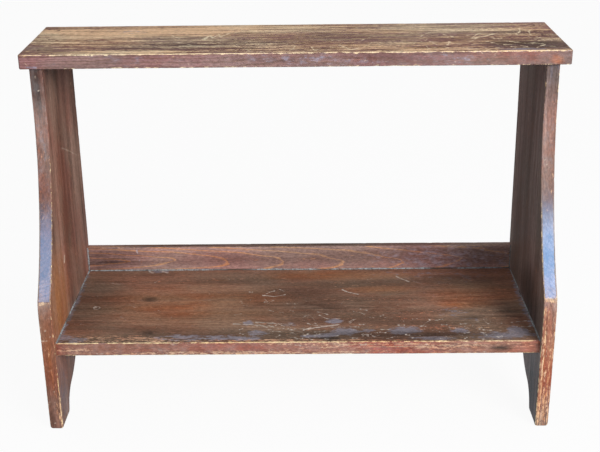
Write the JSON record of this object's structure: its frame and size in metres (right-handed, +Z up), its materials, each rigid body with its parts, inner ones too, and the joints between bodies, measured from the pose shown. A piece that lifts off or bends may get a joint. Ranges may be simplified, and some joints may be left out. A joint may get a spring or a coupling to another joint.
{
  "type": "bucket bench",
  "caption": "Wooden bucket bench: a narrow top on two shaped end boards with cut-out feet, and a deeper low shelf with a back rail.",
  "frame": {"origin": "on the floor, under the middle of the bench's length and of its feet's depth", "axes": "+X along the bench to its right-hand end, +Y from the front to the back rail, +Z up"},
  "size_m": [1.016, 0.374, 0.725],
  "materials": {
    "top_board": "worn stain and varnish over pine",
    "left_end_board": "stain and varnish over pine",
    "right_end_board": "stain and varnish over pine",
    "shelf": "scuffed stain and varnish over pine",
    "back_rail": "stain and varnish over pine",
    "cut_nails": "dull, stained over"
  },
  "bodies": {
    "root": {"top_board": "top_board", "left_end_board": "left_end_board", "right_end_board": "right_end_board", "shelf": "shelf", "back_rail": "back_rail", "top_nails_left": "cut_nails", "top_nails_right": "cut_nails", "shelf_nails_left": "cut_nails", "shelf_nails_right": "cut_nails", "rail_nails_left": "cut_nails", "rail_nails_right": "cut_nails", "rail_foot_nails": "cut_nails"}
  },
  "joints": []
}
